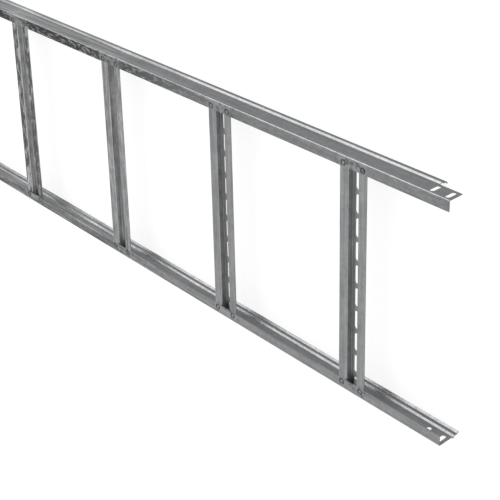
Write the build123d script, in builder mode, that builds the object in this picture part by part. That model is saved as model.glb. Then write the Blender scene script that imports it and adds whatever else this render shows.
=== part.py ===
from build123d import *
import os

# A cable ladder section, 3 m long: two roll-formed side rails joined by ten slotted rungs.
# X runs along the rails, Y along the rungs and Z up. The section lies flat with its front
# lips up, and the origin is under its middle, on the surface that the back lips rest on.

# Side rails
rail_length = 3000.0
clear_width = 402.0
rail_height = 45.0
rail_sheet = 1.5
rail_bend = 0.8
front_lip = 18.0
back_lip_slope = 3.5
land_width = 5.3
rib_width = 7.7
rib_reach = 2.8

# Splice end of each rail, where the rib and the back lip are cut away
tongue_length = 40.0
splice_slot_length = 20.0
splice_slot_width = 8.0
splice_slot_from_end = 9.0
splice_slot_pitch = 27.5

# Rungs
rung_pitch = 300.0
splice_end_to_rung = 180.0
plain_end_to_rung = 120.0
rung_width = 54.0
rung_flange = 15.5
rung_depth = 12.0
rung_sheet = 1.5
rung_bend = 0.8
rung_end_gap = 1.0

# Slots along each rung
rung_slot_length = 32.0
rung_slot_width = 8.5
rung_slot_pitch = 40.0
rung_slot_offset = 5.0

# The first and the last rung have slots with truly round ends. The many slots between them
# have ends of short flats, this many to a full turn. A flat lies on each end and on each
# side, so those slots keep their true length and width.
slot_end_flats = 12

# Values that follow from the ones above
web_face = clear_width / 2 + rail_sheet
rib_back = back_lip_slope + land_width
web_back = rib_back + rib_width
web_height = rail_height - web_back
rail_end = rail_length / 2
flange_top = rail_height - rail_sheet
crown_bottom = flange_top - rung_depth
rung_length = clear_width - 2 * rung_end_gap
channel_width = rung_width - 2 * rung_flange
rung_count = int((rail_length - splice_end_to_rung - plain_end_to_rung) // rung_pitch) + 1
slots_each_way = int((rung_length + rung_slot_length) / 2 // rung_slot_pitch)

os.makedirs("parts", exist_ok=True)

with BuildSketch() as round_slot:
    SlotOverall(rung_slot_length, rung_slot_width, rotation=90)

with BuildSketch() as flatted_slot:
    end_centre = (rung_slot_length - rung_slot_width) / 2
    with Locations((0, end_centre), (0, -end_centre)):
        RegularPolygon(
            radius=rung_slot_width / 2,
            side_count=slot_end_flats,
            major_radius=False,
            rotation=180 / slot_end_flats,
        )
    make_hull()

# Outer skin of the rail's section: front lip, web, outward rib, land and back lip. The walls of
# the rib and the back lip slope at 45 degrees.
# A bend that turns inwards has the sheet on its inside, so its skin has the larger radius.
skin_bend = rail_bend + rail_sheet
rail_skin = [
    (web_face - front_lip, rail_height),
    (web_face, rail_height),
    (web_face, web_back),
    (web_face + rib_reach, web_back - rib_reach),
    (web_face + rib_reach, rib_back + rib_reach),
    (web_face, rib_back),
    (web_face, back_lip_slope),
    (web_face - back_lip_slope, 0),
]
rail_radii = [skin_bend, rail_bend, skin_bend, skin_bend, rail_bend, skin_bend]

# The tongue keeps the web and the front lip, and loses the rest over its length.
web_middle = rail_height - web_height / 2
cut_reach = 2 * (front_lip + rib_reach)

with BuildPart() as side_rail_left:
    with BuildSketch(Plane.YZ.offset(-rail_end)):
        with BuildLine():
            FilletPolyline(*rail_skin, radius=rail_radii)
            offset(amount=rail_sheet, side=Side.RIGHT)
        make_face()
    extrude(amount=rail_length)
    with BuildSketch(Plane.XY):
        with Locations((rail_end, web_face)):
            Rectangle(2 * tongue_length, cut_reach)
    extrude(amount=web_back + rail_bend, mode=Mode.SUBTRACT)
    with BuildSketch(Plane.XZ.offset(-web_face - rail_sheet)):
        for end in (-1, 1):
            first_slot = rail_end - splice_slot_from_end
            second_slot = first_slot - splice_slot_pitch
            with Locations((end * first_slot, web_middle), (end * second_slot, web_middle)):
                SlotOverall(splice_slot_length, splice_slot_width, rotation=90)
    extrude(amount=3 * rail_sheet, mode=Mode.SUBTRACT)

side_rail_left.part.label = "side_rail_left"
export_step(side_rail_left.part, "parts/side_rail_left.step")

# The second rail is the same piece turned end for end, so its tongue is at the other end.
with BuildPart() as side_rail_right:
    add(side_rail_left.part, rotation=(0, 0, 180))

side_rail_right.part.label = "side_rail_right"
export_step(side_rail_right.part, "parts/side_rail_right.step")

# Upper skin of the rung's section: a flange, the open channel and the other flange.
rung_skin_bend = rung_bend + rung_sheet
inner_half = channel_width / 2 - rung_sheet
rung_skin = [
    (-rung_width / 2, flange_top),
    (-inner_half, flange_top),
    (-inner_half, crown_bottom + rung_sheet),
    (inner_half, crown_bottom + rung_sheet),
    (inner_half, flange_top),
    (rung_width / 2, flange_top),
]
rung_radii = [rung_skin_bend, rung_bend, rung_bend, rung_skin_bend]

for number in range(rung_count):
    rung_x = rail_end - splice_end_to_rung - number * rung_pitch
    name = f"rung_{number + 1:02d}"
    slot = round_slot if number in (0, rung_count - 1) else flatted_slot
    with BuildPart() as rung:
        with BuildSketch(Plane((rung_x, -rung_length / 2, 0), x_dir=(1, 0, 0), z_dir=(0, -1, 0))):
            with BuildLine():
                FilletPolyline(*rung_skin, radius=rung_radii)
                offset(amount=rung_sheet, side=Side.RIGHT)
            make_face()
        extrude(amount=-rung_length)
        with BuildSketch(Plane.XY.offset(crown_bottom - rung_sheet)):
            with Locations(*[
                (rung_x, rung_slot_offset + step * rung_slot_pitch)
                for step in range(-slots_each_way, slots_each_way + 1)
            ]):
                add(slot.sketch)
        extrude(amount=3 * rung_sheet, mode=Mode.SUBTRACT)
    rung.part.label = name
    export_step(rung.part, f"parts/{name}.step")
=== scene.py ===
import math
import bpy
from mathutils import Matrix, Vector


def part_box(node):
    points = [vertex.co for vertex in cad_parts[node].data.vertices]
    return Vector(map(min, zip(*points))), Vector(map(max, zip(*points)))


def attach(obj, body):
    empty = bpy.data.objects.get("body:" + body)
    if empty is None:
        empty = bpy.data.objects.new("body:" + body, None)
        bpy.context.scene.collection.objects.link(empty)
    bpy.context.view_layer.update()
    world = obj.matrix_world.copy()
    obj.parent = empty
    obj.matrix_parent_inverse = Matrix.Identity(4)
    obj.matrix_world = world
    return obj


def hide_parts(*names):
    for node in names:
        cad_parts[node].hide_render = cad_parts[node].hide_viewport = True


bl_info = {
    "name": "Cable Ladder Section",
    "version": (1, 0, 0),
    "blender": (4, 5, 0),
    "location": "3D View > Sidebar > Cable Ladder",
    "description": "Finishes a cable ladder section: zinc-coated rails, slotted rungs and pressed joints",
    "category": "Object",
}

import bmesh
import bpy
from bpy.props import FloatProperty, FloatVectorProperty, IntProperty, PointerProperty
from bpy.types import Operator, Panel, PropertyGroup
from mathutils import Matrix, Vector

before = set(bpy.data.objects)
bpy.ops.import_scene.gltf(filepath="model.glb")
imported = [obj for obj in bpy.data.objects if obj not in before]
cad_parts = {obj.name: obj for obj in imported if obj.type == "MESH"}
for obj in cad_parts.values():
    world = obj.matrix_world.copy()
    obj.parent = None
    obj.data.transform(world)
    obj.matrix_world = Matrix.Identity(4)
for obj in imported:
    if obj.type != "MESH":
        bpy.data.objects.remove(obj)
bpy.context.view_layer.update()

RAILS = ("side_rail_left", "side_rail_right")
RUNGS = tuple(name for name in sorted(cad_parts) if name.startswith("rung_"))
# Painted light and shade: these rungs get a much paler zinc, which stands in for light in their channels, and
# heavy dark blotches on their top faces, which stand in for shade on their flanges.
LIT_AND_SHADED_RUNGS = ("rung_04", "rung_07")
# Painted light: these rungs get a paler zinc, which stands in for the light that falls into their channels.
LIT_RUNGS = ("rung_03", "rung_08")


# Sizes and finishes

class RailSizes(PropertyGroup):
    """Sizes of the two roll-formed side rails, the same as in the CAD"""
    web_face: FloatProperty(name="Web face", description="From the middle line to the web's outer face",
                            default=0.2025, unit="LENGTH")
    height: FloatProperty(name="Height", description="From the back lip to the front lip",
                          default=0.045, unit="LENGTH")
    sheet: FloatProperty(name="Sheet", description="Thickness of the rail's sheet", default=0.0015,
                         unit="LENGTH")
    bend: FloatProperty(name="Bend radius", description="Radius inside a bend", default=0.0008, unit="LENGTH")
    front_lip: FloatProperty(name="Front lip", description="Width of the lip that carries the rungs",
                             default=0.018, unit="LENGTH")
    back_slope: FloatProperty(name="Back lip slope", description="Height and reach of the sloped back lip",
                              default=0.0035, unit="LENGTH")
    land: FloatProperty(name="Land", description="Flat land between the rib and the back lip", default=0.0053,
                        unit="LENGTH")
    rib_width: FloatProperty(name="Rib width", description="Width of the rib at its foot", default=0.0077,
                             unit="LENGTH")
    rib_reach: FloatProperty(name="Rib reach", description="How far the rib stands out of the web",
                             default=0.0028, unit="LENGTH")
    tongue: FloatProperty(name="Tongue", description="Length of the splice tongue", default=0.040,
                          unit="LENGTH")
    slot_length: FloatProperty(name="Splice slot length", description="Length of a slot across the web",
                               default=0.020, unit="LENGTH")
    slot_width: FloatProperty(name="Splice slot width", description="Width of a slot across the web",
                              default=0.008, unit="LENGTH")
    slot_from_end: FloatProperty(name="Splice slot place", default=0.009, unit="LENGTH",
                                 description="From the rail's end to the middle of the first slot")
    slot_pitch: FloatProperty(name="Splice slot pitch", description="Between the two slots of an end",
                              default=0.0275, unit="LENGTH")


class RungSizes(PropertyGroup):
    """Sizes of the slotted top-hat rungs, the same as in the CAD"""
    length: FloatProperty(name="Length", description="Length of a rung", default=0.400, unit="LENGTH")
    width: FloatProperty(name="Width", description="Width over both flanges", default=0.054, unit="LENGTH")
    flange: FloatProperty(name="Flange", description="Width of a flange and its bend", default=0.0155,
                          unit="LENGTH")
    depth: FloatProperty(name="Depth", description="Depth of the rung's section", default=0.012,
                         unit="LENGTH")
    sheet: FloatProperty(name="Sheet", description="Thickness of the rung's sheet", default=0.0015,
                         unit="LENGTH")
    bend: FloatProperty(name="Bend radius", description="Radius inside a bend", default=0.0008, unit="LENGTH")
    slot_length: FloatProperty(name="Slot length", description="Length of a slot", default=0.032,
                               unit="LENGTH")
    slot_width: FloatProperty(name="Slot width", description="Width of a slot", default=0.0085, unit="LENGTH")
    slot_pitch: FloatProperty(name="Slot pitch", description="Between the middles of two slots",
                              default=0.040, unit="LENGTH")
    slot_offset: FloatProperty(name="Slot offset", description="From the rung's middle to its middle slot",
                               default=0.005, unit="LENGTH")
    slot_count: IntProperty(name="Slots", description="Slots along a rung, the two cut ones at its ends too",
                            default=11, min=1)


class JointSizes(PropertyGroup):
    """Sizes of the pressed joints, which are pushed through the front lip and the rung's flange"""
    diameter: FloatProperty(name="Joint diameter", description="Diameter of a joint's pressed ring",
                            default=0.0115, unit="LENGTH")
    depth: FloatProperty(name="Joint depth", description="How deep the dent is pressed", default=0.0010,
                         unit="LENGTH")
    across: FloatProperty(name="Joint spacing", description="Between the two joints of a rung's end",
                          default=0.0392, unit="LENGTH")
    from_middle: FloatProperty(name="Joint place", description="From the middle line to the joints",
                               default=0.1905, unit="LENGTH")


class ZincFinish(PropertyGroup):
    """Colours and surface of the zinc coat"""
    rail_colour: FloatVectorProperty(
        name="Rail colour", description="Zinc coat of the rails", subtype="COLOR",
        size=4, min=0, max=1, default=(0.33, 0.335, 0.34, 1))
    rung_colour: FloatVectorProperty(
        name="Rung colour", description="Zinc coat of the rungs", subtype="COLOR",
        size=4, min=0, max=1, default=(0.35, 0.355, 0.36, 1))
    # Painted light: a paler copy of the rung zinc for the lit rungs.
    lit_rung_colour: FloatVectorProperty(
        name="Pale rung colour", description="Zinc coat of the paler rungs", subtype="COLOR",
        size=4, min=0, max=1, default=(0.42, 0.425, 0.43, 1))
    # Painted light: the much paler zinc of the lit and shaded rungs, between their painted shade blotches.
    lit_channel_rung_colour: FloatVectorProperty(
        name="Lit channel rung colour", description="Zinc coat of the rungs between their dull blotches",
        subtype="COLOR", size=4, min=0, max=1, default=(0.50, 0.505, 0.51, 1))
    # Painted shade in part: the dark colour of the blotches, which is also the colour of the smudges at the
    # joints.
    stain_and_shade_colour: FloatVectorProperty(
        name="Stain colour", description="Blotches and smudges in the zinc coat", subtype="COLOR",
        size=4, min=0, max=1, default=(0.05, 0.051, 0.053, 1))
    joint_colour: FloatVectorProperty(
        name="Joint colour", description="Pressed zinc in the rings of the joints", subtype="COLOR",
        size=4, min=0, max=1, default=(0.10, 0.101, 0.103, 1))
    metallic: FloatProperty(name="Metallic", description="How much the zinc coat shines like bare metal",
                            default=0.88, min=0, max=1)
    roughness: FloatProperty(name="Roughness", description="Roughness of the smoothest zinc crystals",
                             default=0.37, min=0, max=1)
    bump_strength: FloatProperty(name="Grain strength", description="How strongly the zinc's grain shows",
                                 default=0.12, min=0, max=1)
    bump_height: FloatProperty(name="Grain height", description="Height of the zinc's grain",
                               default=0.0004, unit="LENGTH")


class StageSettings(PropertyGroup):
    """Floor, light and camera around the ladder section"""
    floor_size: FloatProperty(name="Floor size", description="Width of the square floor", default=60.0,
                              unit="LENGTH")
    floor_colour: FloatVectorProperty(name="Floor colour", description="Paint of the floor", subtype="COLOR",
                                      size=4, min=0, max=1, default=(0.26, 0.26, 0.26, 1))
    floor_to_camera: FloatProperty(name="Floor glow", description="Glow of the floor that the camera sees",
                                   default=0.83)
    floor_in_metal: FloatProperty(name="Floor glow in metal", description="Glow of the floor in reflections",
                                  default=0.26)
    far_floor: FloatProperty(name="Far floor glow", default=1.65,
                             description="How much more the floor's left part glows in reflections")
    far_floor_start: FloatProperty(name="Far floor start", default=1.0, unit="LENGTH",
                                   description="X at which the floor begins to glow more")
    far_floor_end: FloatProperty(name="Far floor end", default=0.45, unit="LENGTH",
                                 description="X from which the floor's glow stays at its far value")
    room_level: FloatProperty(name="Room level", description="Brightness of the room", default=0.79)
    flag_level: FloatProperty(name="Flag level", description="Brightness of the dark flag", default=0.55)
    flag_way: FloatVectorProperty(name="Flag direction", description="Where the dark flag stands", size=3,
                                  default=(-0.92, -0.25, 0.25))
    flag_spread: FloatProperty(name="Flag spread", description="Half the angle that the flag covers",
                               default=math.radians(30), unit="ROTATION")
    card_level: FloatProperty(name="Card level", description="Brightness of the white card", default=1.5)
    card_way: FloatVectorProperty(name="Card direction", description="Where the white card stands", size=3,
                                  default=(0.88, -0.30, 0.38))
    card_spread: FloatProperty(name="Card spread", description="Half the angle that the card covers",
                               default=math.radians(24), unit="ROTATION")
    lamp_way: FloatVectorProperty(name="Softbox direction", description="Where the softbox stands", size=3,
                                  default=(-0.43, 0.77, 0.47))
    lamp_distance: FloatProperty(name="Softbox distance", description="From the ladder to the softbox",
                                 default=7.0, unit="LENGTH")
    lamp_size: FloatProperty(name="Softbox size", description="Diameter of the softbox", default=7.0,
                             unit="LENGTH")
    lamp_target: FloatVectorProperty(name="Softbox target", description="Point that the softbox faces",
                                     subtype="TRANSLATION", size=3, default=(0.9, 0.0, 0.0))
    lamp_power: FloatProperty(name="Softbox power", description="Power of the softbox in watts",
                              default=285.0)
    lens: FloatProperty(name="Lens", description="Focal length of the camera", default=91.1, unit="CAMERA")
    camera_place: FloatVectorProperty(name="Camera place", description="Where the camera stands",
                                      subtype="TRANSLATION", size=3, default=(2.4664, 0.9962, 1.2479))
    camera_shift: FloatProperty(name="Camera shift", default=-0.34,
                                description="Vertical shift of the lens, in picture widths")


# Node helpers

def feed(tree, made, feeds):
    """Give a node's inputs their values, sockets or lists of sockets."""
    for key, value in feeds.items():
        if isinstance(value, (list, tuple)) and isinstance(value[0], bpy.types.NodeSocket):
            for socket in value:
                tree.links.new(socket, made.inputs[key])
        elif isinstance(value, bpy.types.NodeSocket):
            tree.links.new(value, made.inputs[key])
        else:
            made.inputs[key].default_value = value


def add(tree, kind, feeds=None, out=0, **settings):
    """Add a node with its settings and feeds, and return one of its outputs."""
    made = tree.nodes.new(kind)
    for key, value in settings.items():
        setattr(made, key, value)
    feed(tree, made, feeds or {})
    return made.outputs[out]


def reckon(tree, operation, first, second):
    """A Math node on two numbers or sockets."""
    return add(tree, "ShaderNodeMath", {0: first, 1: second}, operation=operation)


def plus(tree, first, second):
    return reckon(tree, "ADD", first, second)


def minus(tree, first, second):
    return reckon(tree, "SUBTRACT", first, second)


def times(tree, first, second):
    return reckon(tree, "MULTIPLY", first, second)


def vector(tree, x=0.0, y=0.0, z=0.0):
    """A vector of three numbers or sockets."""
    return add(tree, "ShaderNodeCombineXYZ", {"X": x, "Y": y, "Z": z})


# Zinc coat. Places, distances and heights are in metres, and a pair gives the two values between which a mark
# fades in or out. The scales count features to a metre.

CRYSTAL_SCALE = 170.0
CLOUD_SCALE = 16.0
SMUDGE_SCALE = 95.0
GRAIN_SCALE = 420.0
NOISE_ROUGHNESS = 0.6

# Noise levels at which blotches and smudges begin
BLOTCH_LEVELS = (0.43, 0.58)
SMUDGE_LEVELS = (0.54, 0.62)

# X at which the streaks and blotches calm down. Towards the far, −X end they are stronger: painted shade that
# darkens that end.
CALM_PLACES = (0.60, 1.10)

# Distances from the middle of a rung, at which the smudges end and the blotches reach their full strength
SMUDGE_REACHES = (0.022, 0.050)
CLEAR_OF_JOINT = (0.025, 0.036)

# Heights at which the smudges begin, and what is left of streaks and blotches under a top face
SMUDGE_HEIGHTS = (0.0425, 0.0445)
TOP_FACE_FADE = 0.0004
STREAKS_BELOW = 0.7
BLOTCHES_BELOW = 0.12

# How much the crystals and the streaks add to the coat's roughness and grain
FACET_ROUGHNESS = 0.10
FACET_HEIGHT = 0.5
STREAK_HEIGHT = 1.2

# Values of the zinc coat for each kind of piece. Along stretches the streaks along the sheet.
RAIL_COAT = {"Along": (9.0, 230.0, 230.0), "Streak": 3.2, "Smudge": 0.5,
             "Blotch Along": (85.0, 240.0, 240.0), "Joint Blotch": 0.1}
RUNG_COAT = {"Along": (210.0, 9.0, 210.0), "Streak": 2.4, "Calm": 0.4,
             "Blotch Along": (130.0, 40.0, 130.0)}
JOINT_COAT = {"Along": (90.0, 90.0, 90.0), "Streak": 0.8, "Blotch": 0.6}
# Painted shade: far more and wider dark blotches darken the left rail's front lip, besides its mottling.
LEFT_RAIL_SHADE_BLOTCHES = {"Blotch": 0.97, "Blotch Cover": 0.07}
RIGHT_RAIL_BLOTCHES = {"Blotch": 0.35}
BRIGHT_RUNG_BLOTCHES = {"Blotch": 0.22}
LIT_RUNG_BLOTCHES = {"Blotch": 0.3}
# Painted shade: heavy dark blotches over the flanges of the lit and shaded rungs.
SHADED_RUNG_BLOTCHES = {"Blotch": 0.82, "Blotch Cover": 0.05}

# The blotches keep to a sheet's top face, down to this far below it.
UNDER_TOP_FACE = 0.0001


def new_group(name, inputs, outputs):
    """A shader node group with the named inputs and outputs, and its input and output nodes."""
    group = bpy.data.node_groups.new(name, "ShaderNodeTree")
    for label, kind, value in inputs:
        socket = group.interface.new_socket(label, in_out="INPUT", socket_type=kind)
        if value is not None:
            socket.default_value = value
    for label, kind in outputs:
        group.interface.new_socket(label, in_out="OUTPUT", socket_type=kind)
    return group, group.nodes.new("NodeGroupInput").outputs, group.nodes.new("NodeGroupOutput")


def zinc_coat_group():
    """The look of a zinc coat: crystals, clouds, streaks, blotches and smudges at the joints. The dark
    blotches are partly mottling of the coat and partly painted shade.
    """
    group, given, result = new_group(
        "Zinc Coat",
        [("Vector", "NodeSocketVector", None),
         ("Along", "NodeSocketVector", (1, 1, 1)),
         ("Coat", "NodeSocketColor", (0.33, 0.33, 0.33, 1)),
         ("Stain And Shade", "NodeSocketColor", (0.12, 0.12, 0.12, 1)),
         ("Crystal", "NodeSocketFloat", 0.12),
         ("Cloud", "NodeSocketFloat", 0.4),
         ("Streak", "NodeSocketFloat", 1.0),
         ("Blotch", "NodeSocketFloat", 0.5),
         ("Blotch Along", "NodeSocketVector", (75, 75, 75)),
         ("Blotch Above", "NodeSocketFloat", 0.0445),
         ("Blotch Cover", "NodeSocketFloat", 0.0),
         ("Joint Blotch", "NodeSocketFloat", 1.0),
         ("Smudge", "NodeSocketFloat", 0.0),
         ("Calm", "NodeSocketFloat", 0.25),
         ("Rung Place", "NodeSocketFloat", 1.32),
         ("Rung Pitch", "NodeSocketFloat", 0.3),
         ("Roughness", "NodeSocketFloat", 0.37)],
        [("Color", "NodeSocketColor"), ("Roughness", "NodeSocketFloat"), ("Height", "NodeSocketFloat")])
    spot = given["Vector"]

    def noise(scale, detail, where=spot):
        return add(group, "ShaderNodeTexNoise",
                   {"Vector": where, "Scale": scale, "Detail": detail, "Roughness": NOISE_ROUGHNESS})

    def stretched(by):
        return add(group, "ShaderNodeVectorMath", {0: spot, 1: by}, operation="MULTIPLY")

    def mask(value, limits, first=0.0, last=1.0):
        return add(group, "ShaderNodeMapRange",
                   {"Value": value, "From Min": limits[0], "From Max": limits[1],
                    "To Min": first, "To Max": last}, interpolation_type="SMOOTHSTEP")

    def around_one(value, strength):
        return plus(group, times(group, minus(group, value, 0.5), strength), 1.0)

    def mixed(factor, first, second, blend="MIX"):
        return add(group, "ShaderNodeMix", {0: factor, 6: first, 7: second}, out=2, data_type="RGBA",
                   blend_type=blend)

    crystals = add(group, "ShaderNodeTexVoronoi", {"Vector": spot, "Scale": CRYSTAL_SCALE}, out="Color")
    crystal = add(group, "ShaderNodeSeparateColor", {0: crystals}, out=0)
    facet = add(group, "ShaderNodeSeparateColor", {0: crystals}, out=2)
    along = add(group, "ShaderNodeSeparateXYZ", {0: spot}, out="X")
    upwards = add(group, "ShaderNodeSeparateXYZ", {0: spot}, out="Z")
    top_face = (minus(group, given["Blotch Above"], TOP_FACE_FADE), given["Blotch Above"])
    # Painted shade: streaks and dark blotches at full strength towards the far end, and only the share Calm
    # of it towards the near end.
    far_end_shade = mask(along, CALM_PLACES, 1.0, given["Calm"])

    half_pitch = times(group, given["Rung Pitch"], 0.5)
    nearest = add(group, "ShaderNodeMath",
                  {0: minus(group, along, given["Rung Place"]), 1: half_pitch,
                   2: times(group, half_pitch, -1.0)}, operation="WRAP")
    from_joint = reckon(group, "ABSOLUTE", nearest, 0.0)
    near_joint = mask(from_joint, SMUDGE_REACHES, 1.0, 0.0)

    streaks = noise(1.0, 3.0, stretched(given["Along"]))
    streak_strength = times(group, given["Streak"], far_end_shade)
    streak_strength = times(group, streak_strength, mask(upwards, top_face, STREAKS_BELOW))
    tone = times(group, around_one(crystal, given["Crystal"]),
                 around_one(noise(CLOUD_SCALE, 5.0), given["Cloud"]))
    tone = times(group, tone, around_one(streaks, streak_strength))
    toned = mixed(1.0, given["Coat"], tone, "MULTIPLY")

    # Dark blotches on the top faces: partly random mottling of the coat, partly painted shade.
    patches = plus(group, noise(1.0, 4.0, stretched(given["Blotch Along"])), given["Blotch Cover"])
    blotches = times(group, mask(patches, BLOTCH_LEVELS), mask(upwards, top_face, BLOTCHES_BELOW))
    blotches = times(group, blotches, mask(from_joint, CLEAR_OF_JOINT, given["Joint Blotch"]))
    blotches = times(group, blotches, times(group, given["Blotch"], far_end_shade))
    stained_and_shaded = mixed(blotches, toned, given["Stain And Shade"])

    smudges = times(group, mask(noise(SMUDGE_SCALE, 2.0), SMUDGE_LEVELS), near_joint)
    smudges = times(group, smudges, mask(upwards, SMUDGE_HEIGHTS, 0.0, given["Smudge"]))

    relief = plus(group, times(group, facet, FACET_HEIGHT), noise(GRAIN_SCALE, 3.0))
    feed(group, result, {
        "Color": mixed(smudges, stained_and_shaded, given["Stain And Shade"]),
        "Roughness": plus(group, times(group, facet, FACET_ROUGHNESS), given["Roughness"]),
        "Height": plus(group, relief, times(group, streaks, STREAK_HEIGHT))})
    return group


def zinc_material(name, colour, values):
    """A zinc material of one piece's colour, with its own values for the zinc coat group."""
    finish = bpy.context.scene.ladder_finish
    group = bpy.data.node_groups.get("Zinc Coat") or zinc_coat_group()
    material = bpy.data.materials.new(name)
    material.use_nodes = True
    tree = material.node_tree
    place = add(tree, "ShaderNodeTexCoord", out="Object")
    feeds = {"Vector": place, "Coat": colour, "Stain And Shade": finish.stain_and_shade_colour, "Roughness": finish.roughness}
    coat = add(tree, "ShaderNodeGroup", {**feeds, **values}, node_tree=group).node.outputs
    normal = add(tree, "ShaderNodeBump",
                 {"Strength": finish.bump_strength, "Distance": finish.bump_height, "Height": coat["Height"]})
    feed(tree, tree.nodes["Principled BSDF"],
         {"Metallic": finish.metallic, "Base Color": coat["Color"], "Roughness": coat["Roughness"],
          "Normal": normal})
    return material


# Bent sheet

ARC_STEP = math.radians(9)


def bent_skin(corners, radii):
    """Points along a sheet's skin, each with the direction to its left, with rounded corners."""
    def turned(arrow, angle):
        return Vector((arrow.x * math.cos(angle) - arrow.y * math.sin(angle),
                       arrow.x * math.sin(angle) + arrow.y * math.cos(angle)))

    corners = [Vector(corner) for corner in corners]
    way = (corners[1] - corners[0]).normalized()
    skin = [(corners[0], turned(way, math.pi / 2))]
    for corner, after, radius in zip(corners[1:], corners[2:], radii):
        next_way = (after - corner).normalized()
        turn = math.atan2(way.x * next_way.y - way.y * next_way.x, way.dot(next_way))
        side = math.copysign(1.0, turn)
        left = turned(way, math.pi / 2)
        begin = corner - way * radius * math.tan(abs(turn) / 2)
        centre = begin + left * radius * side
        steps = max(2, round(abs(turn) / ARC_STEP))
        for step in range(steps + 1):
            turned_left = turned(left, turn * step / steps)
            skin.append((centre - turned_left * radius * side, turned_left))
        way = next_way
    skin.append((corners[-1], turned(way, math.pi / 2)))
    return skin


def bent_bar(name, skin, sheet, low, high, place, material):
    """A closed bar of bent sheet, which lies to the right of its skin. Place puts a point in the frame."""
    rows = [(point, point - left * sheet) for point, left in skin]
    corners = [place(along, across) for along in (low, high) for row in rows for across in row]
    count = len(rows)
    faces = []

    def number(end, row, layer):
        return (end * count + row) * 2 + layer

    for row in range(count - 1):
        for layer in (0, 1):
            faces.append((number(0, row, layer), number(0, row + 1, layer),
                          number(1, row + 1, layer), number(1, row, layer)))
        for end in (0, 1):
            faces.append((number(end, row, 0), number(end, row + 1, 0),
                          number(end, row + 1, 1), number(end, row, 1)))
    for row in (0, count - 1):
        faces.append((number(0, row, 0), number(0, row, 1), number(1, row, 1), number(1, row, 0)))
    mesh = bpy.data.meshes.new(name)
    mesh.from_pydata(corners, [], faces)
    shell = bmesh.new()
    shell.from_mesh(mesh)
    bmesh.ops.recalc_face_normals(shell, faces=shell.faces)
    shell.to_mesh(mesh)
    shell.free()
    mesh.materials.append(material)
    bar = bpy.data.objects.new(name, mesh)
    bpy.context.scene.collection.objects.link(bar)
    return bar


# Punches and press tools, built by geometry nodes. Lengths are in metres.

ROUND_SIDES = 28
ROUNDING_SHARE = 0.4999
WELD_DISTANCE = 0.00001
RAIL_PUNCH_LENGTH = 0.010
RAIL_PUNCH_OUTSIDE = 0.004
RUNG_PUNCH_LENGTH = 0.006
TONGUE_BLOCK_DEPTH = 0.060

# A press tool's foot has this share of its diameter as its radius.
FOOT_SHARE = 0.38

# How far each press tool reaches over the face that it presses, and how far the core goes under it
DENT_TOP = 0.0004
BUTTON_TOP = 0.0006
CORE_TOP = -0.0003
CORE_FOOT = 0.002

# Diameters of the core and of the button, as shares of the joint's diameter
CORE_SHARE = 0.5
BUTTON_SHARE = 1.08

# The rounding of sheared edges
EDGE_WIDTH = 0.00015
EDGE_ANGLE = math.radians(50)


def new_tree(name, inputs):
    """A geometry tree with a Geometry input, the named inputs and a Geometry output."""
    tree = bpy.data.node_groups.new(name, "GeometryNodeTree")
    tree.interface.new_socket("Geometry", in_out="INPUT", socket_type="NodeSocketGeometry")
    for label, kind in inputs:
        tree.interface.new_socket(label, in_out="INPUT", socket_type=kind)
    tree.interface.new_socket("Geometry", in_out="OUTPUT", socket_type="NodeSocketGeometry")
    return tree, tree.nodes.new("NodeGroupInput").outputs, tree.nodes.new("NodeGroupOutput")


def moved(tree, shape, place, turn=(0.0, 0.0, 0.0)):
    """A shape turned and put in its place."""
    return add(tree, "GeometryNodeTransform", {"Geometry": shape, "Translation": place, "Rotation": turn})


def spread(tree, shape, count, start, step):
    """Put copies of a shape on a row of points."""
    points = add(tree, "GeometryNodeMeshLine", {"Count": count, "Start Location": start, "Offset": step},
                 mode="OFFSET", count_mode="TOTAL")
    copies = add(tree, "GeometryNodeInstanceOnPoints", {"Points": points, "Instance": shape})
    return add(tree, "GeometryNodeRealizeInstances", {"Geometry": copies})


def slot_punch(tree, width, length, height):
    """A closed punch for a slot: its length along Y, its foot at Z 0."""
    outline = add(tree, "GeometryNodeCurvePrimitiveQuadrilateral", {"Width": width, "Height": length},
                  mode="RECTANGLE")
    rounded = add(tree, "GeometryNodeFilletCurve",
                  {"Curve": outline, "Count": ROUND_SIDES // 4,
                   "Radius": times(tree, width, ROUNDING_SHARE), "Limit Radius": True}, mode="POLY")
    foot = add(tree, "GeometryNodeFillCurve", {"Curve": rounded}, mode="NGONS")
    sides = add(tree, "GeometryNodeExtrudeMesh",
                {"Mesh": foot, "Offset": vector(tree, z=1.0), "Offset Scale": height, "Individual": False},
                mode="FACES")
    sole = add(tree, "GeometryNodeFlipFaces", {"Mesh": foot})
    both = add(tree, "GeometryNodeJoinGeometry", {"Geometry": [sides, sole]})
    return add(tree, "GeometryNodeMergeByDistance", {"Geometry": both, "Distance": WELD_DISTANCE})


def press_tool(tree, diameter, depth, height):
    """A closed blunt cone, narrower at its foot, which is depth below Z 0 and reaches height above it."""
    cone = add(tree, "GeometryNodeMeshCone",
               {"Vertices": ROUND_SIDES, "Side Segments": 1, "Fill Segments": 1,
                "Radius Top": times(tree, diameter, 0.5), "Radius Bottom": times(tree, diameter, FOOT_SHARE),
                "Depth": plus(tree, depth, height)}, fill_type="NGON")
    return moved(tree, cone, vector(tree, z=times(tree, depth, -1.0)))


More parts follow.
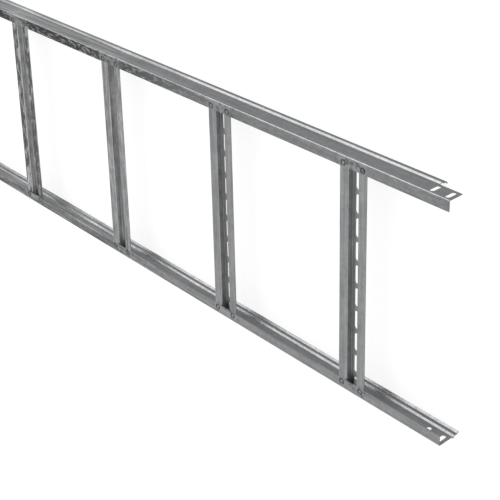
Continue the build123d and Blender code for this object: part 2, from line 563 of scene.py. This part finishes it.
def joint_tools(tree, given):
    """The ring of one joint, with the pressed zinc on it, and the joint's button, each with its height."""
    diameter = given["Joint Diameter"]
    dent = press_tool(tree, diameter, given["Joint Depth"], DENT_TOP)
    dent = add(tree, "GeometryNodeSetMaterial", {"Geometry": dent, "Material": given["Joint Material"]})
    core = press_tool(tree, times(tree, diameter, CORE_SHARE), CORE_FOOT, CORE_TOP)
    ring = add(tree, "GeometryNodeMeshBoolean", {"Mesh 1": dent, "Mesh 2": core}, operation="DIFFERENCE",
               solver="EXACT")
    button = press_tool(tree, times(tree, diameter, BUTTON_SHARE), given["Joint Depth"], BUTTON_TOP)
    underside = minus(tree, given["Joint Height"], given["Sheet"])
    return (ring, given["Joint Height"]), (button, underside)


def punched(tree, given, result, buttons, cutters):
    """Add the buttons to the blank, cut the cutters out of it and coat the rest with zinc."""
    pressed = add(tree, "GeometryNodeMeshBoolean", {"Mesh 2": [given["Geometry"], buttons]},
                  operation="UNION", solver="EXACT")
    cut = add(tree, "GeometryNodeMeshBoolean", {"Mesh 1": pressed, "Mesh 2": cutters},
              operation="DIFFERENCE", solver="EXACT")
    turned = moved(tree, cut, (0.0, 0.0, 0.0), vector(tree, z=given["Turn"]))
    real = add(tree, "GeometryNodeRealizeInstances", {"Geometry": turned})
    dented = add(tree, "GeometryNodeMaterialSelection", {"Material": given["Joint Material"]})
    plain = add(tree, "FunctionNodeBooleanMath", {0: dented}, operation="NOT")
    coated = add(tree, "GeometryNodeSetMaterial",
                 {"Geometry": real, "Selection": plain, "Material": given["Material"]})
    feed(tree, result, {"Geometry": coated})


def float_inputs(*labels):
    return [(label, "NodeSocketFloat") for label in labels]


JOINT_INPUTS = float_inputs("Joint Diameter", "Joint Depth", "Joint Spacing", "Joint From Middle",
                            "Joint Height", "Sheet", "Turn")
JOINT_INPUTS += [("Material", "NodeSocketMaterial"), ("Joint Material", "NodeSocketMaterial")]


def rail_tree():
    """Punches a rail's blank: two slots at each end, the tongue, and a pair of joints for each rung."""
    tree, given, result = new_tree("Punched Rail", float_inputs(
        "Length", "Web Face", "Slot Length", "Slot Width", "Slot Height", "Slot From End", "Slot Pitch",
        "Tongue Length", "Tongue Height", "First Rung", "Rung Pitch",
    ) + [("Rung Count", "NodeSocketInt")] + JOINT_INPUTS)
    half = times(tree, given["Length"], 0.5)
    first = minus(tree, half, given["Slot From End"])
    punch = slot_punch(tree, given["Slot Width"], given["Slot Length"], RAIL_PUNCH_LENGTH)
    outside = plus(tree, given["Web Face"], RAIL_PUNCH_OUTSIDE)
    upright = moved(tree, punch, vector(tree, y=outside, z=given["Slot Height"]), (math.pi / 2, 0.0, 0.0))
    cutters = []
    for side in (1.0, -1.0):
        begin = vector(tree, x=times(tree, first, side))
        step = vector(tree, x=times(tree, given["Slot Pitch"], -side))
        cutters.append(spread(tree, upright, 2, begin, step))
    block_size = vector(tree, x=times(tree, given["Tongue Length"], 2.0), y=TONGUE_BLOCK_DEPTH,
                        z=times(tree, given["Tongue Height"], 2.0))
    block = add(tree, "GeometryNodeMeshCube", {"Size": block_size})
    cutters.append(moved(tree, block, vector(tree, x=half, y=given["Web Face"])))
    rows = []
    for tool, height in joint_tools(tree, given):
        pair = spread(tree, tool, 2, vector(tree, x=times(tree, given["Joint Spacing"], -0.5)),
                      vector(tree, x=given["Joint Spacing"]))
        begin = vector(tree, x=given["First Rung"], y=given["Joint From Middle"], z=height)
        step = vector(tree, x=times(tree, given["Rung Pitch"], -1.0))
        rows.append(spread(tree, pair, given["Rung Count"], begin, step))
    rings, buttons = rows
    punched(tree, given, result, buttons, cutters + [rings])
    return tree


def rung_tree():
    """Punches a rung's blank: the row of slots in its crown and a joint at each end of its flanges."""
    tree, given, result = new_tree("Punched Rung", float_inputs(
        "Slot Length", "Slot Width", "Slot Height", "Slot Pitch", "Slot Offset", "Place",
    ) + [("Slot Count", "NodeSocketInt")] + JOINT_INPUTS)
    punch = slot_punch(tree, given["Slot Width"], given["Slot Length"], RUNG_PUNCH_LENGTH)
    gaps = minus(tree, given["Slot Count"], 1.0)
    reach = times(tree, times(tree, gaps, given["Slot Pitch"]), -0.5)
    begin = vector(tree, x=given["Place"], y=plus(tree, reach, given["Slot Offset"]),
                   z=minus(tree, given["Slot Height"], RUNG_PUNCH_LENGTH / 2))
    slots = spread(tree, punch, given["Slot Count"], begin, vector(tree, y=given["Slot Pitch"]))
    spots = add(tree, "GeometryNodeMeshGrid",
                {"Size X": given["Joint Spacing"], "Size Y": times(tree, given["Joint From Middle"], 2.0),
                 "Vertices X": 2, "Vertices Y": 2})
    sets = []
    for tool, height in joint_tools(tree, given):
        copies = add(tree, "GeometryNodeInstanceOnPoints", {"Points": spots, "Instance": tool})
        placed = moved(tree, copies, vector(tree, x=given["Place"], z=height))
        sets.append(add(tree, "GeometryNodeRealizeInstances", {"Geometry": placed}))
    rings, buttons = sets
    punched(tree, given, result, buttons, [slots, rings])
    return tree


def run_tree(piece, tree, values):
    """Run a geometry tree on a piece, round its sheared edges and keep the plain mesh."""
    modifier = piece.modifiers.new("punching", "NODES")
    modifier.node_group = tree
    for item in tree.interface.items_tree:
        if item.in_out == "INPUT" and item.name in values:
            modifier[item.identifier] = values[item.name]
    edges = piece.modifiers.new("sheared edges", "BEVEL")
    edges.width = EDGE_WIDTH
    edges.segments = 1
    edges.limit_method = "ANGLE"
    edges.angle_limit = EDGE_ANGLE
    even = piece.modifiers.new("even shading", "WEIGHTED_NORMAL")
    even.keep_sharp = True
    bpy.context.view_layer.update()
    seen = piece.evaluated_get(bpy.context.evaluated_depsgraph_get())
    mesh = bpy.data.meshes.new_from_object(seen)
    piece.modifiers.clear()
    piece.data = mesh
    mesh.name = piece.name


# Operators

def rung_places():
    """The X of each rung, from the CAD."""
    return [sum(corner.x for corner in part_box(name)) / 2 for name in RUNGS]


def joint_zinc(scene):
    """The dull zinc in the pressed rings of the joints."""
    made = bpy.data.materials.get("joint_zinc")
    return made or zinc_material("joint_zinc", scene.ladder_finish.joint_colour, JOINT_COAT)


def joint_values(scene, height, sheet, material, turn=0.0):
    """Inputs that the trees of rails and rungs share. Height is the upper face of the pressed sheet."""
    joints = scene.ladder_joints
    return {"Joint Diameter": joints.diameter, "Joint Depth": joints.depth, "Joint Spacing": joints.across,
            "Joint From Middle": joints.from_middle, "Joint Height": height, "Sheet": sheet, "Turn": turn,
            "Material": material, "Joint Material": joint_zinc(scene)}


class LADDER_OT_roll_rails(Operator):
    """Roll the two side rails, punch their splice slots and press the joints into their front lips"""
    bl_idname = "ladder.roll_rails"
    bl_label = "Roll Rails"

    def execute(self, context):
        scene = context.scene
        sizes = scene.ladder_rails
        places = rung_places()
        pitch = places[0] - places[1]
        coat = {**RAIL_COAT, "Blotch Above": sizes.height - UNDER_TOP_FACE,
                "Rung Place": places[0], "Rung Pitch": pitch}
        face = sizes.web_face
        rib_back = sizes.back_slope + sizes.land
        web_back = rib_back + sizes.rib_width
        reach = sizes.rib_reach
        outer = sizes.bend + sizes.sheet
        skin = bent_skin(
            [(face - sizes.front_lip, sizes.height), (face, sizes.height), (face, web_back),
             (face + reach, web_back - reach), (face + reach, rib_back + reach), (face, rib_back),
             (face, sizes.back_slope), (face - sizes.back_slope, 0.0)],
            [outer, sizes.bend, outer, outer, sizes.bend, outer])
        low, high = (corner.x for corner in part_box(RAILS[0]))
        tree = rail_tree()
        for name, node_name, turn, first_rung, blotches in (
                ("rail_left_rolled", RAILS[0], 0.0, places[0], LEFT_RAIL_SHADE_BLOTCHES),
                ("rail_right_rolled", RAILS[1], math.pi, -places[-1], RIGHT_RAIL_BLOTCHES)):
            material = zinc_material(name + "_zinc", scene.ladder_finish.rail_colour, {**coat, **blotches})
            rail = bent_bar(name, skin, sizes.sheet, low, high,
                            lambda along, across: (along, *across), material)
            values = {"Length": high - low, "Web Face": face, "Slot Length": sizes.slot_length,
                      "Slot Width": sizes.slot_width, "Slot Height": (sizes.height + web_back) / 2,
                      "Slot From End": sizes.slot_from_end, "Slot Pitch": sizes.slot_pitch,
                      "Tongue Length": sizes.tongue, "Tongue Height": web_back + sizes.bend,
                      "First Rung": first_rung, "Rung Pitch": pitch, "Rung Count": len(places)}
            values.update(joint_values(scene, sizes.height, sizes.sheet, material, turn))
            run_tree(rail, tree, values)
            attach(rail, "root")
            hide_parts(node_name)
        return {"FINISHED"}


class LADDER_OT_press_rungs(Operator):
    """Press the rungs, punch their slots and press the joints into their flanges"""
    bl_idname = "ladder.press_rungs"
    bl_label = "Press Rungs"

    def execute(self, context):
        scene = context.scene
        sizes = scene.ladder_rungs
        finish = scene.ladder_finish
        top = scene.ladder_rails.height - scene.ladder_rails.sheet
        coat = {**RUNG_COAT, "Blotch Above": top - UNDER_TOP_FACE}
        bright = zinc_material("rung_zinc", finish.rung_colour, {**coat, **BRIGHT_RUNG_BLOTCHES})
        # Painted light: the paler rung zinc stands in for the light in the channels.
        pale = zinc_material("lit_rung_zinc", finish.lit_rung_colour, {**coat, **LIT_RUNG_BLOTCHES})
        # Painted light and shade: much paler zinc with heavy dark blotches on its top faces.
        shaded = zinc_material("lit_and_shaded_rung_zinc", finish.lit_channel_rung_colour, {**coat, **SHADED_RUNG_BLOTCHES})
        zincs = {**dict.fromkeys(RUNGS, bright), **dict.fromkeys(LIT_RUNGS, pale),
                 **dict.fromkeys(LIT_AND_SHADED_RUNGS, shaded)}
        crown = top - sizes.depth + sizes.sheet
        half_width = sizes.width / 2
        half_channel = half_width - sizes.flange - sizes.sheet
        outer = sizes.bend + sizes.sheet
        skin = bent_skin(
            [(-half_width, top), (-half_channel, top), (-half_channel, crown), (half_channel, crown),
             (half_channel, top), (half_width, top)],
            [outer, sizes.bend, sizes.bend, outer])
        tree = rung_tree()
        for name, place in zip(RUNGS, rung_places()):
            rung = bent_bar(name + "_pressed", skin, sizes.sheet, -sizes.length / 2, sizes.length / 2,
                            lambda along, across: (place + across[0], along, across[1]), zincs[name])
            values = {"Slot Length": sizes.slot_length, "Slot Width": sizes.slot_width,
                      "Slot Height": crown - sizes.sheet / 2, "Slot Pitch": sizes.slot_pitch,
                      "Slot Offset": sizes.slot_offset, "Slot Count": sizes.slot_count, "Place": place}
            values.update(joint_values(scene, top, sizes.sheet, zincs[name]))
            run_tree(rung, tree, values)
            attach(rung, "root")
            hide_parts(name)
        return {"FINISHED"}


# The floor lies this far under the ladder, in metres, so that their faces don't meet.
FLOOR_GAP = 0.0004

# The flag and the card keep their full brightness over this share of their spread.
FULL_SHARE = 0.42

WHITE = (1, 1, 1, 1)

# The camera's directions to the right, downwards and forward, solved from straight lines of the ladder
CAMERA_RIGHT = Vector((0.66675, -0.02140, -0.74497))
CAMERA_DOWN = Vector((0.26513, -0.92739, 0.26393))
CAMERA_FORWARD = Vector((-0.69653, -0.37349, -0.61266))


class LADDER_OT_build_stage(Operator):
    """Lay the floor, set the soft lights and place the camera"""
    bl_idname = "ladder.build_stage"
    bl_label = "Build Stage"

    def execute(self, context):
        settings = context.scene.ladder_stage
        half = settings.floor_size / 2
        mesh = bpy.data.meshes.new("floor")
        mesh.from_pydata([(-half, -half, 0), (half, -half, 0), (half, half, 0), (-half, half, 0)], [],
                         [(0, 1, 2, 3)])
        mesh.materials.append(self.floor_material(settings))
        floor = bpy.data.objects.new("floor", mesh)
        floor.location.z = -FLOOR_GAP
        context.scene.collection.objects.link(floor)
        self.world(context.scene, settings)
        self.softbox(context.scene, settings)
        self.camera(context.scene, settings)
        return {"FINISHED"}

    def floor_material(self, settings):
        """White to the camera and grey in reflections, with the object's shadow on it."""
        material = bpy.data.materials.new("floor_white")
        material.use_nodes = True
        tree = material.node_tree
        tree.nodes.clear()
        ray = add(tree, "ShaderNodeLightPath").node.outputs
        place = add(tree, "ShaderNodeTexCoord", out="Object")
        in_metal = add(tree, "ShaderNodeMapRange", {
            "Value": add(tree, "ShaderNodeSeparateXYZ", {0: place}, out="X"),
            "From Min": settings.far_floor_end, "From Max": settings.far_floor_start,
            "To Min": settings.floor_in_metal * settings.far_floor, "To Max": settings.floor_in_metal})
        mirrored = reckon(tree, "MAXIMUM", ray["Is Glossy Ray"], ray["Is Transmission Ray"])
        to_camera = times(tree, ray["Is Camera Ray"], settings.floor_to_camera)
        glow = add(tree, "ShaderNodeEmission",
                   {"Strength": plus(tree, to_camera, times(tree, mirrored, in_metal))})
        paint = add(tree, "ShaderNodeBsdfDiffuse", {"Color": settings.floor_colour})
        both = add(tree, "ShaderNodeAddShader", {0: glow, 1: paint})
        feed(tree, tree.nodes.new("ShaderNodeOutputMaterial"), {"Surface": both})
        return material

    def world(self, scene, settings):
        """An even pale room with a dark flag and a white card in it. The camera sees it white."""
        world = bpy.data.worlds.new("studio")
        scene.world = world
        world.use_nodes = True
        tree = world.node_tree
        tree.nodes.clear()
        way = add(tree, "ShaderNodeTexCoord", out="Generated")
        level = settings.room_level
        for centre, spread_angle, brightness in (
                (settings.flag_way, settings.flag_spread, settings.flag_level),
                (settings.card_way, settings.card_spread, settings.card_level)):
            towards = add(tree, "ShaderNodeVectorMath", {0: way, 1: Vector(centre).normalized()},
                          out="Value", operation="DOT_PRODUCT")
            level = add(tree, "ShaderNodeMapRange", {
                "Value": towards, "From Min": math.cos(spread_angle),
                "From Max": math.cos(spread_angle * FULL_SHARE), "To Min": level, "To Max": brightness},
                interpolation_type="SMOOTHSTEP")
        room = add(tree, "ShaderNodeBackground", {"Color": WHITE, "Strength": level})
        backdrop = add(tree, "ShaderNodeBackground", {"Color": WHITE, "Strength": 1.0})
        to_camera = add(tree, "ShaderNodeLightPath", out="Is Camera Ray")
        chosen = add(tree, "ShaderNodeMixShader", {0: to_camera, 1: room, 2: backdrop})
        feed(tree, tree.nodes.new("ShaderNodeOutputWorld"), {"Surface": chosen})

    def softbox(self, scene, settings):
        """A large round softbox that faces its target."""
        lamp = bpy.data.lights.new("softbox", "AREA")
        lamp.shape = "DISK"
        lamp.size = settings.lamp_size
        lamp.energy = settings.lamp_power
        light = bpy.data.objects.new("softbox", lamp)
        way = Vector(settings.lamp_way).normalized()
        place = Vector(settings.lamp_target) + way * settings.lamp_distance
        turned = (-way).to_track_quat("-Z", "Y").to_matrix().to_4x4()
        light.matrix_world = Matrix.Translation(place) @ turned
        scene.collection.objects.link(light)

    def camera(self, scene, settings):
        """The camera of the photo."""
        data = bpy.data.cameras.new("camera")
        data.lens = settings.lens
        data.sensor_width = 36.0
        data.sensor_fit = "HORIZONTAL"
        data.shift_y = settings.camera_shift
        data.clip_end = 200.0
        camera = bpy.data.objects.new("camera", data)
        turned = Matrix((CAMERA_RIGHT, -CAMERA_DOWN, -CAMERA_FORWARD)).transposed()
        camera.matrix_world = Matrix.Translation(settings.camera_place) @ turned.to_4x4()
        scene.collection.objects.link(camera)
        scene.camera = camera


class LADDER_PT_panel(Panel):
    """Lists the steps that build the ladder section"""
    bl_label = "Cable Ladder Section"
    bl_idname = "LADDER_PT_panel"
    bl_space_type = "VIEW_3D"
    bl_region_type = "UI"
    bl_category = "Cable Ladder"

    def draw(self, context):
        layout = self.layout
        for operator in OPERATORS:
            layout.operator(operator.bl_idname)


GROUPS = (
    ("ladder_rails", RailSizes),
    ("ladder_rungs", RungSizes),
    ("ladder_joints", JointSizes),
    ("ladder_finish", ZincFinish),
    ("ladder_stage", StageSettings),
)
OPERATORS = (LADDER_OT_roll_rails, LADDER_OT_press_rungs, LADDER_OT_build_stage)


def register():
    for name, group in GROUPS:
        bpy.utils.register_class(group)
        setattr(bpy.types.Scene, name, PointerProperty(type=group))
    for operator in OPERATORS:
        bpy.utils.register_class(operator)
    bpy.utils.register_class(LADDER_PT_panel)


def unregister():
    bpy.utils.unregister_class(LADDER_PT_panel)
    for operator in reversed(OPERATORS):
        bpy.utils.unregister_class(operator)
    for name, group in reversed(GROUPS):
        delattr(bpy.types.Scene, name)
        bpy.utils.unregister_class(group)


def main():
    register()
    bpy.ops.ladder.roll_rails()
    bpy.ops.ladder.press_rungs()
    bpy.ops.ladder.build_stage()
    bpy.context.scene.view_settings.view_transform = "Standard"


if __name__ == "__main__":
    main()
